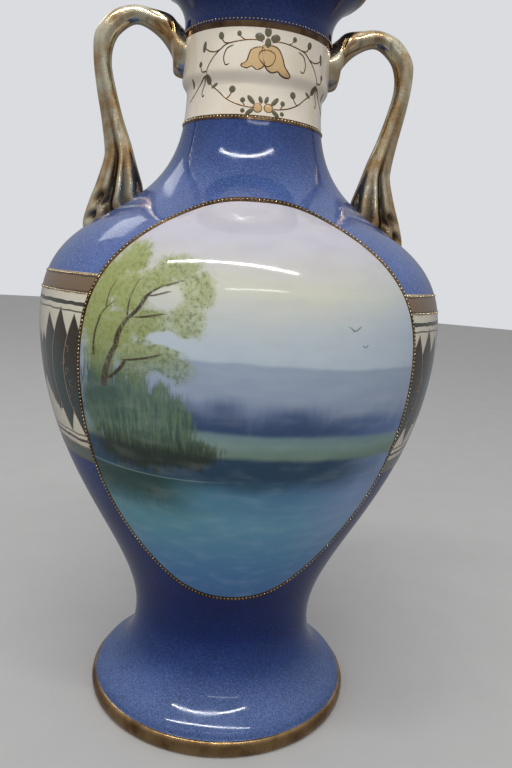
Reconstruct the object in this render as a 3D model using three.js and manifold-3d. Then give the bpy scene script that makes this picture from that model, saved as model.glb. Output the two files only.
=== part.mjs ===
// Two-handled porcelain vase: a turned body on a spreading foot, a slim neck with a trumpet lip,
// and a pair of swan-neck handles that rise from the shoulder and bend over into the neck.
// Millimetres, +Z up. The origin is on the axis at the underside of the foot, and the front is -Y.
import * as THREE from 'three';
import { mergeVertices } from 'three/addons/utils/BufferGeometryUtils.js';
import Module from 'manifold-3d';

// Foot
const footRadius = 64;
const rimHeight = 7.4;
const rimProud = 1.8;
const grooveDepth = 0.5;
const ringWidth = 4.5;
const footWall = 5;
const floorThickness = 5;

// Turned body, each rise counted from the place below it
const waistRadius = 43.5;
const waistHeight = 40;
const bellyRadius = 91;
const bellyRise = 144;
const neckRadius = 30.2;
const neckRise = 98.5;
const collarRadius = 32.5;
const collarRise = 6;
const collarLength = 22.5;
const lipRadius = 46;
const lipRise = 18;
const wall = 4;
const floorCorner = 4;
const floorAboveWaist = 1;
const hollowTrim = 1;

// Handles
const handleReach = 42;
const archClearance = 11.4;
const shoulderSeatRise = 51;
const neckSeatRise = 8.5;
const rodThickness = 9;
const rodFluteDepth = 0.05;
const rootFluteDepth = 0.17;
const flutes = 6;
const rootFlutesStart = 0.6;
const rootFlutesFull = 0.95;

// Pulls of the smooth runs at their lower and upper ends, as shares of the rise
const domePulls = [0.2, 0.82];
const lowerBodyPulls = [0.27, 0.49];
const shoulderPulls = [0.56, 0.64];
const stepPulls = [0.45, 0.45];
const lipUpright = 0.4;
const lipTurn = { out: 0.38, up: 0.75 };

// Facets
const turnFacets = 48;
const rodSides = 18;
const rodStations = 28;
const lipEdgeFacets = 5;
const outsideFacets = { rim: 4, dome: 6, lowerBody: 10, shoulder: 11, step: 4, lip: 5 };
const insideFacets = { dome: 5, lowerBody: 7, shoulder: 8, step: 3, lip: 4 };

const bellyHeight = waistHeight + bellyRise;
const neckHeight = bellyHeight + neckRise;
const collarHeight = neckHeight + collarRise;
const collarTop = collarHeight + collarLength;
const lipHeight = collarTop + lipRise;
const floorHeight = waistHeight + floorAboveWaist;

const point = (radius, height) => new THREE.Vector2(radius, height);

// A smooth run between two places that both stand upright
function upright(from, to, [lowerPull, upperPull]) {
  const rise = to.y - from.y;
  return new THREE.CubicBezierCurve(
    from,
    point(from.x, from.y + lowerPull * rise),
    point(to.x, to.y - upperPull * rise),
    to,
  );
}

const rimInside = footRadius - rimProud;
const domeStart = point(rimInside - grooveDepth, rimHeight + grooveDepth);
const waist = point(waistRadius, waistHeight);
const belly = point(bellyRadius, bellyHeight);
const neck = point(neckRadius, neckHeight);
const collar = point(collarRadius, collarHeight);
const lipRoot = point(collarRadius, collarTop);
const lipFlare = lipRadius - collarRadius;

const rimHalf = rimHeight / 2;
const rimBead = new THREE.EllipseCurve(rimInside, rimHalf, rimProud, rimHalf, -Math.PI / 2, Math.PI / 2);
const dome = upright(domeStart, waist, domePulls);
const lowerBody = upright(waist, belly, lowerBodyPulls);
const shoulder = upright(belly, neck, shoulderPulls);
const step = upright(neck, collar, stepPulls);
const lip = new THREE.CubicBezierCurve(
  lipRoot,
  point(collarRadius, collarTop + lipUpright * lipRise),
  point(collarRadius + lipTurn.out * lipFlare, collarTop + lipTurn.up * lipRise),
  point(lipRadius, lipHeight),
);

// Points of a curve moved inward, square to it, by the thickness of the wall
function insidePoints(curve, thickness, count) {
  return curve.getPoints(count).map((place, index) => {
    const along = curve.getTangent(index / count);
    return point(place.x - along.y * thickness, place.y + along.x * thickness);
  });
}

// Rounded edge between the outside and the inside of the lip
function lipEdge() {
  const along = lip.getTangent(1);
  const inward = point(-along.y, along.x);
  const centre = point(lipRadius, lipHeight).addScaledVector(inward, wall / 2);
  const edge = [];
  for (let facet = 1; facet < lipEdgeFacets; facet++) {
    const angle = (Math.PI * facet) / lipEdgeFacets;
    edge.push(centre.clone()
      .addScaledVector(inward, -Math.cos(angle) * wall / 2)
      .addScaledVector(along, Math.sin(angle) * wall / 2));
  }
  return edge;
}

const above = (height) => (place) => place.y > height;
const below = (height) => (place) => place.y < height;

// Outline of the hollow, from the middle of its floor up to the lip
function hollowOutline() {
  const insideWaist = waistRadius - wall;
  const walls = [
    ...insidePoints(lowerBody, wall, insideFacets.lowerBody),
    ...insidePoints(shoulder, wall, insideFacets.shoulder).slice(1),
    ...insidePoints(step, wall, insideFacets.step).slice(1),
    ...insidePoints(lip, wall, insideFacets.lip),
  ];
  const bevel = floorCorner * (1 - Math.SQRT1_2);
  return [
    point(0, floorHeight),
    point(insideWaist - floorCorner, floorHeight),
    point(insideWaist - bevel, floorHeight + bevel),
    ...walls.filter(above(floorHeight + floorCorner)),
  ];
}

// Outline of the hollow under the foot, from its middle down to the standing ring
function underOutline() {
  const ceiling = floorHeight - floorThickness;
  const ringInside = rimInside - ringWidth;
  const domeInside = insidePoints(dome, footWall, insideFacets.dome).reverse()
    .filter(below(ceiling - hollowTrim))
    .filter(above(hollowTrim))
    .filter((place) => place.x < ringInside);
  return [
    point(0, ceiling),
    ...domeInside,
    point(ringInside, 0),
  ];
}

// Outside of the vase, from the standing ring up to the lip
function outsideOutline() {
  return [
    ...rimBead.getPoints(outsideFacets.rim),
    ...dome.getPoints(outsideFacets.dome),
    ...lowerBody.getPoints(outsideFacets.lowerBody).slice(1),
    ...shoulder.getPoints(outsideFacets.shoulder).slice(1),
    ...step.getPoints(outsideFacets.step).slice(1),
    ...lip.getPoints(outsideFacets.lip),
  ];
}

function turned(outline) {
  const geometry = new THREE.LatheGeometry(outline, turnFacets);
  geometry.rotateX(Math.PI / 2);
  return geometry;
}

// Radius of the outside at a height on the shoulder, the neck or the collar
function radiusAt(height) {
  const places = [...shoulder.getPoints(80), ...step.getPoints(40), lipRoot];
  const next = places.findIndex((place) => place.y >= height);
  const share = (height - places[next - 1].y) / (places[next].y - places[next - 1].y);
  return THREE.MathUtils.lerp(places[next - 1].x, places[next].x, share);
}

// Swan-neck form from the neck to the root on the shoulder. Each row holds the outer edge and the inner
// edge as shares of the reach and the rise, and then half the depth as a share of the rod's thickness.
const swanNeck = [
  [-0.11, 0.88, -0.23, 0.66, 1.07],
  [0.03, 0.93, -0.07, 0.68, 1.04],
  [0.14, 0.97, 0.01, 0.77, 0.82],
  [0.31, 0.99, 0.2, 0.86, 0.58],
  [0.53, 1, 0.44, 0.91, 0.5],
  [0.73, 0.96, 0.58, 0.86, 0.49],
  [0.84, 0.86, 0.62, 0.79, 0.48],
  [0.8, 0.74, 0.59, 0.7, 0.48],
  [0.68, 0.58, 0.49, 0.59, 0.48],
  [0.54, 0.42, 0.33, 0.44, 0.51],
  [0.43, 0.28, 0.17, 0.31, 0.6],
  [0.4, 0.21, 0.08, 0.23, 0.71],
  [0.41, 0.08, 0, 0.16, 0.91],
  [0.43, -0.02, -0.07, 0.1, 1.09],
  [0.43, -0.13, -0.11, 0.06, 1.18],
  [0.35, -0.22, -0.18, 0.02, 1.16],
];

const neckSeat = collarHeight + neckSeatRise;
const shoulderSeat = bellyHeight + shoulderSeatRise;
const archTop = lipHeight - archClearance;
const neckSeatRadius = radiusAt(neckSeat);
const shoulderSeatRadius = radiusAt(shoulderSeat);

// Edge of the handle in its own plane, counted from the line between its two seats
function handleEdge(reachColumn) {
  return new THREE.SplineCurve(swanNeck.map((row) => {
    const out = row[reachColumn];
    const up = row[reachColumn + 1];
    const seatLine = THREE.MathUtils.lerp(shoulderSeatRadius, neckSeatRadius, up);
    return point(seatLine + out * handleReach, THREE.MathUtils.lerp(shoulderSeat, archTop, up));
  }));
}

// Depth of the flutes, shallow along the rod and deep in the root's folds
function fluteDepth(share) {
  const root = THREE.MathUtils.smoothstep(share, rootFlutesStart, rootFlutesFull);
  return THREE.MathUtils.lerp(rodFluteDepth, rootFluteDepth, root);
}

function handle(side) {
  const outerEdge = handleEdge(0);
  const innerEdge = handleEdge(2);
  const depths = new THREE.SplineCurve(swanNeck.map((row, index) => point(index, row[4] * rodThickness)));
  const positions = [];
  for (let station = 0; station < rodStations; station++) {
    const share = station / (rodStations - 1);
    const outer = outerEdge.getPoint(share);
    const inner = innerEdge.getPoint(share);
    const middle = outer.clone().add(inner).multiplyScalar(0.5);
    const half = outer.clone().sub(inner).multiplyScalar(0.5);
    const depth = depths.getPoint(share).y;
    for (let step = 0; step < rodSides; step++) {
      const angle = (2 * Math.PI * step) / rodSides;
      const flute = 1 - fluteDepth(share) * (0.5 - 0.5 * Math.cos(flutes * angle));
      const along = Math.cos(angle) * flute;
      positions.push(
        side * (middle.x + half.x * along),
        side * Math.sin(angle) * flute * depth,
        middle.y + half.y * along,
      );
    }
  }
  const faces = [];
  for (let station = 0; station < rodStations - 1; station++) {
    for (let step = 0; step < rodSides; step++) {
      const here = station * rodSides + step;
      const beside = station * rodSides + ((step + 1) % rodSides);
      faces.push(here, here + rodSides, beside, beside, here + rodSides, beside + rodSides);
    }
  }
  const last = (rodStations - 1) * rodSides;
  for (let step = 1; step < rodSides - 1; step++) {
    faces.push(0, step, step + 1, last, last + step + 1, last + step);
  }
  const geometry = new THREE.BufferGeometry();
  geometry.setAttribute('position', new THREE.Float32BufferAttribute(positions, 3));
  geometry.setIndex(faces);
  return geometry;
}

const wasm = await Module();
wasm.setup();

// A closed geometry as a solid for joining and cutting
function solid(source) {
  const loose = source.clone();
  loose.deleteAttribute('normal');
  loose.deleteAttribute('uv');
  const merged = mergeVertices(loose, 1e-4);
  const faces = [];
  for (let first = 0; first < merged.index.count; first += 3) {
    const [a, b, c] = [0, 1, 2].map((corner) => merged.index.getX(first + corner));
    if (a !== b && b !== c && a !== c) faces.push(a, b, c);
  }
  return new wasm.Manifold(new wasm.Mesh({
    numProp: 3,
    vertProperties: new Float32Array(merged.attributes.position.array),
    triVerts: new Uint32Array(faces),
  }));
}

function geometryOf(manifold) {
  const mesh = manifold.getMesh();
  const geometry = new THREE.BufferGeometry();
  geometry.setAttribute('position', new THREE.Float32BufferAttribute(mesh.vertProperties, 3));
  geometry.setIndex(new THREE.Uint32BufferAttribute(mesh.triVerts, 1));
  geometry.computeVertexNormals();
  return geometry;
}

const hollow = hollowOutline();
const shell = solid(turned([...underOutline(), ...outsideOutline(), ...lipEdge(), ...hollow.toReversed()]));
const inside = solid(turned([...hollow, point(0, lipHeight)]));
const handles = [-1, 1].map((side) => solid(handle(side)).subtract(inside));

const vase = new THREE.Mesh(
  geometryOf(shell.add(handles[0]).add(handles[1])),
  new THREE.MeshStandardMaterial({ color: 0x4a5fae, roughness: 0.12, metalness: 0 }),
);
vase.name = 'vase';

const group = new THREE.Group();
group.add(vase);

export default group;
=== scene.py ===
# Two-handled porcelain vase: powder-blue glaze, a painted lake in a beaded medallion, gilt swan-neck handles.
# The frame is in metres, +Z up, front towards -Y. Sizes in the dictionaries are millimetres.
import math
from itertools import product
import bmesh
import bpy
import numpy as np
from mathutils import Matrix, Vector


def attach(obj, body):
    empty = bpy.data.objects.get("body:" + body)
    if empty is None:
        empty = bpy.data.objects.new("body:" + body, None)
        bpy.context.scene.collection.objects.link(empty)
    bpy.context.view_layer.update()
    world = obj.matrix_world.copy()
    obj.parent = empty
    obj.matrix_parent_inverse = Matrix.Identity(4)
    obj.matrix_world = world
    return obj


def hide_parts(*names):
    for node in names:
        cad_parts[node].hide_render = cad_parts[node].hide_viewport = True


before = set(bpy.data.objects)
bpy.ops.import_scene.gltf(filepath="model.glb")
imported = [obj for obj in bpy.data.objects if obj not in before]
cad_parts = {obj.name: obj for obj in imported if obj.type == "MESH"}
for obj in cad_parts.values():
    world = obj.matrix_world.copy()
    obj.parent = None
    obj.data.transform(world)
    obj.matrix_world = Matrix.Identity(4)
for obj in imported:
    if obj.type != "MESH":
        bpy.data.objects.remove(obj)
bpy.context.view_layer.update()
scene = bpy.context.scene
mm = 0.001


def tint(red, green, blue):
    # a display colour from 0 to 255 as a linear colour
    def linear(value):
        share = value / 255
        return share / 12.92 if share <= 0.04045 else ((share + 0.055) / 1.055) ** 2.4
    return (linear(red), linear(green), linear(blue), 1.0)


# Turned form of the vase, each rise counted from the place below it
vaseForm = {
    "footRadius": 64, "rimHeight": 7.4, "rimProud": 1.8, "grooveDepth": 0.5, "ringWidth": 4.5,
    "footWall": 5, "floorThickness": 5, "waistRadius": 43.5, "waistHeight": 40,
    "bellyRadius": 91, "bellyRise": 144, "neckRadius": 30.2, "neckRise": 98.5,
    "collarRadius": 32.5, "collarRise": 6, "collarLength": 22.5, "lipRadius": 46, "lipRise": 18,
    "wall": 4, "floorCorner": 4, "turns": 240,
}
bellyHeight = vaseForm["waistHeight"] + vaseForm["bellyRise"]
neckHeight = bellyHeight + vaseForm["neckRise"]
collarHeight = neckHeight + vaseForm["collarRise"]
collarTop = collarHeight + vaseForm["collarLength"]
lipHeight = collarTop + vaseForm["lipRise"]
floorHeight = vaseForm["waistHeight"] + 1
degree = vaseForm["bellyRadius"] * math.pi / 180   # one degree round the belly, in millimetres


def bezier(points, count):
    share = np.linspace(0, 1, count)[:, None]
    rest = 1 - share
    a, b, c, d = (np.array(point, float) for point in points)
    return rest ** 3 * a + 3 * rest ** 2 * share * b + 3 * rest * share ** 2 * c + share ** 3 * d


def upright(low, high, lowerPull, upperPull, count):
    # a curve that leaves and arrives upright
    rise = high[1] - low[1]
    lowerHandle = (low[0], low[1] + lowerPull * rise)
    upperHandle = (high[0], high[1] - upperPull * rise)
    return bezier([low, lowerHandle, upperHandle, high], count)


def unit(rows):
    return rows / np.linalg.norm(rows, axis=-1, keepdims=True)


def inward(curve, depth):
    # a curve moved towards the hollow, square to itself
    along = unit(np.gradient(curve, axis=0))
    return curve + np.stack([-along[:, 1], along[:, 0]], 1) * depth


rimInside = vaseForm["footRadius"] - vaseForm["rimProud"]
domeStart = (rimInside - vaseForm["grooveDepth"], vaseForm["rimHeight"] + vaseForm["grooveDepth"])
waist = (vaseForm["waistRadius"], vaseForm["waistHeight"])
belly = (vaseForm["bellyRadius"], bellyHeight)
neck = (vaseForm["neckRadius"], neckHeight)
collar = (vaseForm["collarRadius"], collarHeight)
lipRoot = (vaseForm["collarRadius"], collarTop)
lipFlare = vaseForm["lipRadius"] - vaseForm["collarRadius"]

turn = np.linspace(-math.pi / 2, math.pi / 2, 14)
rimHalf = vaseForm["rimHeight"] / 2
rimBead = np.stack([rimInside + vaseForm["rimProud"] * np.cos(turn), rimHalf * (1 + np.sin(turn))], 1)
dome = upright(domeStart, waist, 0.2, 0.82, 26)
lowerBody = upright(waist, belly, 0.27, 0.49, 56)
shoulder = upright(belly, neck, 0.56, 0.64, 56)
step = upright(neck, collar, 0.45, 0.45, 12)
lip = bezier([
    lipRoot,
    (vaseForm["collarRadius"], collarTop + 0.4 * vaseForm["lipRise"]),
    (vaseForm["collarRadius"] + 0.38 * lipFlare, collarTop + 0.75 * vaseForm["lipRise"]),
    (vaseForm["lipRadius"], lipHeight),
], 16)
outside = np.vstack([dome, lowerBody[1:], shoulder[1:], step[1:], lip])


def lipEdge():
    # the round edge from the outside to the inside of the lip
    along = unit(lip[-1] - lip[-2])
    across = np.array([-along[1], along[0]])
    half = vaseForm["wall"] / 2
    angle = np.linspace(0, math.pi, 11)[1:-1, None]
    return lip[-1] + across * half * (1 - np.cos(angle)) + along * half * np.sin(angle)


def underside():
    ceiling = floorHeight - vaseForm["floorThickness"]
    ringInside = rimInside - vaseForm["ringWidth"]
    hollow = inward(dome, vaseForm["footWall"])[::-1]
    hollow = hollow[(hollow[:, 1] < ceiling - 1) & (hollow[:, 0] < ringInside) & (hollow[:, 1] > 1)]
    flat = [(radius, ceiling) for radius in (0, 10, 20, 30)]
    return np.vstack([flat, hollow, [(ringInside, 0)]])


def hollowWall():
    insideWaist = vaseForm["waistRadius"] - vaseForm["wall"]
    corner = vaseForm["floorCorner"]
    walls = np.vstack([inward(part, vaseForm["wall"])[::2] for part in (lowerBody, shoulder, step, lip)])
    walls = walls[walls[:, 1] > floorHeight + corner]
    angle = np.linspace(-math.pi / 2, 0, 6)
    bend = np.array([insideWaist - corner, floorHeight + corner])
    bend = bend + corner * np.stack([np.cos(angle), np.sin(angle)], 1)
    flat = [(radius, floorHeight) for radius in (0, 12, 24)]
    return np.vstack([flat, bend, walls])


def radiusAt(height):
    return np.interp(height, outside[:, 1], outside[:, 0])


def surfaceScale(places):
    # millimetres over the surface for each degree and each step up, at (degrees, height)
    return np.stack([np.radians(1) * radiusAt(places[:, 1]), np.ones(len(places))], 1)


def onBody(degrees, height, proud=0.0):
    # places on the outside of the vase, in metres, and the way out of the surface there
    degrees, height = np.broadcast_arrays(np.asarray(degrees, float), np.asarray(height, float))
    angle = np.radians(degrees)
    reach = 0.4
    slope = (radiusAt(height + reach) - radiusAt(height - reach)) / (2 * reach)
    radius = radiusAt(height)
    out = unit(np.stack([np.sin(angle), -np.cos(angle), -slope], -1))
    places = np.stack([radius * np.sin(angle), -radius * np.cos(angle), height], -1)
    return (places + out * np.asarray(proud)[..., None]) * mm, out


def splineThrough(points, count):
    # an even walk along a smooth curve through the given rows
    points = np.array(points, float)
    last = len(points) - 1
    place = np.linspace(0, last, count)
    index = np.minimum(place.astype(int), last - 1)
    share = (place - index)[:, None]
    before, after = points[np.maximum(index - 1, 0)], points[np.minimum(index + 2, last)]
    here, there = points[index], points[index + 1]
    pullHere, pullThere = (there - before) / 2, (after - here) / 2
    return ((2 * here - 2 * there + pullHere + pullThere) * share ** 3
            + (3 * there - 3 * here - 2 * pullHere - pullThere) * share ** 2 + pullHere * share + here)


def gridFaces(rows, columns, loop):
    faces = []
    for row in range(rows - 1):
        for column in range(columns if loop else columns - 1):
            beside = (column + 1) % columns
            faces.append((row * columns + column, row * columns + beside,
                          (row + 1) * columns + beside, (row + 1) * columns + column))
    return faces


def closedSkin(places, out, depth, loop, centre=False):
    # a thin closed plate: the outer grid, the same grid sunk by the depth, and walls round its edges
    rows, columns = places.shape[:2]
    sunk = places - out * depth * mm
    points = np.vstack([places.reshape(-1, 3), sunk.reshape(-1, 3)])
    count = rows * columns
    top = gridFaces(rows, columns, loop)
    faces = top + [tuple(count + corner for corner in reversed(face)) for face in top]
    edges = []
    around = range(columns if loop else columns - 1)
    edges += [((rows - 1) * columns + c, (rows - 1) * columns + (c + 1) % columns) for c in around]
    if not centre:
        edges += [((c + 1) % columns, c) for c in around]
    if not loop:
        edges += [(r * columns, (r + 1) * columns) for r in range(rows - 1)]
        edges += [((r + 1) * columns + columns - 1, r * columns + columns - 1) for r in range(rows - 1)]
    faces += [(a, b, b + count, a + count) for a, b in edges]
    return points, faces


def lathe(outline):
    turns = vaseForm["turns"]
    angle = np.linspace(0, 2 * math.pi, turns, endpoint=False)
    radius, height = outline[:, 0][:, None], outline[:, 1][:, None]
    places = np.stack([radius * np.sin(angle), -radius * np.cos(angle), height + 0 * angle], -1) * mm
    return places.reshape(-1, 3), gridFaces(len(outline), turns, True)


def makePiece(name, parts, materials, sharp=35, faceMaterials=None):
    # joins lists of points and faces into one closed smooth mesh that rides on the body
    points, faces, first = [], [], 0
    for partPoints, partFaces in parts:
        points.append(partPoints)
        faces += [tuple(first + corner for corner in face) for face in partFaces]
        first += len(partPoints)
    mesh = bpy.data.meshes.new(name)
    mesh.from_pydata(np.vstack(points).tolist(), [], faces)
    for material in materials:
        mesh.materials.append(material)
    if faceMaterials is not None:
        mesh.polygons.foreach_set("material_index", np.array(faceMaterials, np.int32))
    shape = bmesh.new()
    shape.from_mesh(mesh)
    bmesh.ops.remove_doubles(shape, verts=shape.verts, dist=1e-7)
    bmesh.ops.recalc_face_normals(shape, faces=shape.faces)
    shape.to_mesh(mesh)
    shape.free()
    mesh.polygons.foreach_set("use_smooth", np.ones(len(mesh.polygons), bool))
    mesh.set_sharp_from_angle(angle=math.radians(sharp))
    piece = bpy.data.objects.new(name, mesh)
    scene.collection.objects.link(piece)
    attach(piece, "root")
    return piece


def addPlaces(piece, centre):
    # across and height in millimetres, which the painted grounds are laid out by
    mesh = piece.data
    places = np.zeros(len(mesh.vertices) * 3, np.float32)
    mesh.vertices.foreach_get("co", places)
    places = places.reshape(-1, 3)
    angle = np.degrees(np.arctan2(places[:, 0], -places[:, 1])) - centre
    angle = (angle + 180) % 360 - 180
    for name, values in (("across", angle * degree), ("height", places[:, 2] / mm)):
        attribute = mesh.attributes.new(name, "FLOAT", "POINT")
        attribute.data.foreach_set("value", values.astype(np.float32))


# Short ways to write shader nodes. A wire is a value in a node tree that plain arithmetic works on.
class Wire:
    def __init__(self, tree, socket):
        self.tree = tree
        self.socket = socket

    def __add__(self, other):
        return calc("ADD", self, other)

    def __sub__(self, other):
        return calc("SUBTRACT", self, other)

    def __rsub__(self, other):
        return calc("SUBTRACT", other, self)

    def __mul__(self, other):
        return calc("MULTIPLY", self, other)

    def __truediv__(self, other):
        return calc("DIVIDE", self, other)


def newTree(name):
    material = bpy.data.materials.new(name)
    material.use_nodes = True
    tree = material.node_tree
    return material, tree, tree.nodes["Principled BSDF"]


def setInput(socket, value):
    # a wire is linked, a display colour is made linear, and a number is set as it is
    if isinstance(value, Wire):
        value.tree.links.new(value.socket, socket)
    else:
        socket.default_value = tint(*value) if isinstance(value, tuple) else value


def calc(operation, *values):
    tree = next(value.tree for value in values if isinstance(value, Wire))
    node = tree.nodes.new("ShaderNodeMath")
    node.operation = operation
    for socket, value in zip(node.inputs, values):
        setInput(socket, value)
    return Wire(tree, node.outputs[0])


def largest(values):
    total = values[0]
    for value in values[1:]:
        total = calc("MAXIMUM", total, value)
    return total


def ease(value, low, high, start=0.0, end=1.0):
    # a smooth step from start to end between low and high
    node = value.tree.nodes.new("ShaderNodeMapRange")
    node.interpolation_type = "SMOOTHSTEP"
    for name, given in zip(("From Min", "From Max", "To Min", "To Max"), (low, high, start, end)):
        node.inputs[name].default_value = given
    setInput(node.inputs["Value"], value)
    return Wire(value.tree, node.outputs["Result"])


def mixed(share, under, over, blend="MIX"):
    tree = next(value.tree for value in (share, under, over) if isinstance(value, Wire))
    node = tree.nodes.new("ShaderNodeMix")
    node.data_type = "RGBA"
    node.blend_type = blend
    for place, value in ((0, share), (6, under), (7, over)):
        setInput(node.inputs[place], value)
    return Wire(tree, node.outputs[2])


def ramp(value, stops, interpolation="LINEAR"):
    node = value.tree.nodes.new("ShaderNodeValToRGB")
    node.color_ramp.interpolation = interpolation
    while len(node.color_ramp.elements) < len(stops):
        node.color_ramp.elements.new(1)
    for element, (place, colour) in zip(node.color_ramp.elements, stops):
        element.position = place
        element.color = colour
    setInput(node.inputs["Fac"], value)
    return Wire(value.tree, node.outputs["Color"])


def heightRamp(height, stops, interpolation="LINEAR"):
    # display colours, each from its height in millimetres
    low, high = stops[0][0], stops[-1][0]
    placed = [((place - low) / (high - low), tint(*colour)) for place, colour in stops]
    return ramp((height - low) / (high - low), placed, interpolation)


def noise(place, scale, detail=2.0, roughness=0.5):
    node = place.tree.nodes.new("ShaderNodeTexNoise")
    for name, value in (("Vector", place), ("Scale", scale), ("Detail", detail), ("Roughness", roughness)):
        setInput(node.inputs[name], value)
    return Wire(place.tree, node.outputs["Fac"])


def joined(x, y):
    node = x.tree.nodes.new("ShaderNodeCombineXYZ")
    setInput(node.inputs[0], x)
    setInput(node.inputs[1], y)
    return Wire(x.tree, node.outputs[0])


def objectPlace(tree):
    return Wire(tree, tree.nodes.new("ShaderNodeTexCoord").outputs["Object"])


def heightOf(tree):
    node = tree.nodes.new("ShaderNodeSeparateXYZ")
    setInput(node.inputs[0], objectPlace(tree))
    return Wire(tree, node.outputs["Z"]) / mm


def attribute(tree, name):
    node = tree.nodes.new("ShaderNodeAttribute")
    node.attribute_name = name
    return Wire(tree, node.outputs["Fac"])


def bumped(shader, height, strength, distance):
    node = height.tree.nodes.new("ShaderNodeBump")
    node.inputs["Strength"].default_value = strength
    node.inputs["Distance"].default_value = distance
    setInput(node.inputs["Height"], height)
    setInput(shader.inputs["Normal"], Wire(height.tree, node.outputs["Normal"]))


def newGroup(name, inputs, outputs, colours=()):
    # a group whose sockets are numbers, apart from the named colours
    group = bpy.data.node_groups.new(name, "ShaderNodeTree")
    for labels, side in ((inputs, "INPUT"), (outputs, "OUTPUT")):
        for label in labels:
            kind = "NodeSocketColor" if label in colours else "NodeSocketFloat"
            group.interface.new_socket(label, in_out=side, socket_type=kind)
    given = group.nodes.new("NodeGroupInput").outputs
    return group, [Wire(group, given[label]) for label in inputs], group.nodes.new("NodeGroupOutput").inputs


def useGroup(tree, group, *values):
    node = tree.nodes.new("ShaderNodeGroup")
    node.node_tree = group
    for socket, value in zip(node.inputs, values):
        setInput(socket, value)
    return [Wire(tree, output) for output in node.outputs]


# Gloss that all the glazed grounds share: faint orange-peel and slightly uneven roughness
def makeGlazeGroup():
    group, (ripple,), result = newGroup("glazeSurface", ("Ripple",), ("Height", "Roughness"))
    place = objectPlace(group)
    setInput(result["Height"], (noise(place, 45) + noise(place, 420) * 0.12) * ripple)
    setInput(result["Roughness"], ease(noise(place, 160, 3), 0.3, 0.7, 0.05, 0.12))
    return group


# Worn gilding: tone that shifts from bright to brown, pin holes and rubbed places
def makeGildingGroup():
    names = ("Bright", "Deep", "Wear")
    group, (bright, deep, wear), result = newGroup(
        "gildingSurface", names, ("Color", "Roughness", "Height"), ("Bright", "Deep", "Color"))
    place = objectPlace(group)
    base = mixed(ease(noise(place, 70, 4, 0.6), 0.35, 0.68), bright, deep)
    rubbed = ease(noise(place, 900, 4, 0.7), 0.6, 0.7) * wear
    patches = ease(noise(place, 38, 3), 0.5, 0.66)
    setInput(result["Color"], mixed(rubbed * patches, base, (72, 52, 34)))
    setInput(result["Roughness"], ease(noise(place, 240, 4), 0.3, 0.75, 0.13, 0.34))
    setInput(result["Height"], noise(place, 90, 3) + noise(place, 700) * 0.15)
    return group


glazeGroup = makeGlazeGroup()
gildingGroup = makeGildingGroup()
glazeFinish = {"ripple": 0.35, "bump": 0.12, "bumpDepth": 0.0006}


def glazed(tree, shader, coat=0.0, coatRoughness=0.03):
    height, roughness = useGroup(tree, glazeGroup, glazeFinish["ripple"])
    setInput(shader.inputs["Roughness"], roughness)
    shader.inputs["Coat Weight"].default_value = coat
    shader.inputs["Coat Roughness"].default_value = coatRoughness
    bumped(shader, height, glazeFinish["bump"], glazeFinish["bumpDepth"])


# Powder-blue ground: tones by height, partly the glaze's own tone and partly painted shade that darkens the
# lower body and waist to navy, and a fine light and dark speckle
blueGlaze = {
    "tonesAndShade": [(0, (58, 78, 118)), (14, (76, 95, 136)), (28, (42, 62, 108)), (44, (16, 36, 86)),
              (62, (6, 24, 74)), (100, (10, 30, 76)), (150, (44, 66, 116)), (205, (80, 99, 146)),
              (232, (77, 96, 141)), (252, (52, 72, 118)), (270, (38, 58, 106)), (302, (34, 50, 98)),
              (318, (20, 34, 76)), (333, (16, 30, 68))],
    "dark": (122, 134, 184), "speck": 1300, "grain": 2400, "cloud": 40, "ior": 1.46,
}


def makeBlueGlaze():
    material, tree, shader = newTree("blueGlaze")
    place = objectPlace(tree)
    # painted shade: the height ramp darkens the lower body and waist to navy
    ground = heightRamp(heightOf(tree), blueGlaze["tonesAndShade"])
    cloud = ease(noise(place, blueGlaze["cloud"], 4, 0.6), 0.3, 0.75, 0.0, 0.3)
    grains = ease(noise(place, blueGlaze["speck"], 3, 0.8), 0.42, 0.68)
    ground = mixed(cloud + grains, ground, ground, "ADD")
    dark = ease(noise(place, blueGlaze["grain"], 3, 0.8), 0.48, 0.66)
    setInput(shader.inputs["Base Color"], mixed(dark, ground, blueGlaze["dark"], "MULTIPLY"))
    shader.inputs["IOR"].default_value = blueGlaze["ior"]
    glazed(tree, shader)
    return material


def makePaleGlaze(name, light, shaded):
    material, tree, shader = newTree(name)
    place = objectPlace(tree)
    ground = mixed(ease(noise(place, 40, 4, 0.55), 0.3, 0.7), light, shaded)
    specks = ease(noise(place, 1500), 0.72, 0.8, 0.0, 0.35)
    setInput(shader.inputs["Base Color"], mixed(specks, ground, (120, 104, 80)))
    glazed(tree, shader, 0.4, 0.04)
    return material


def makeBareClay():
    material, tree, shader = newTree("bareClay")
    grain = noise(objectPlace(tree), 1800, 3, 0.7)
    setInput(shader.inputs["Base Color"], mixed(ease(grain, 0.35, 0.7), (222, 214, 200), (176, 164, 146)))
    setInput(shader.inputs["Roughness"], ease(grain, 0.3, 0.7, 0.6, 0.85))
    bumped(shader, grain, 0.4, 0.0002)
    return material


def stretched(tree, share):
    # object places squeezed upward, so that a pattern on them runs in upright streaks
    node = tree.nodes.new("ShaderNodeVectorMath")
    node.operation = "MULTIPLY"
    node.inputs[1].default_value = (1, 1, share)
    setInput(node.inputs[0], objectPlace(tree))
    return Wire(tree, node.outputs[0])


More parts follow.
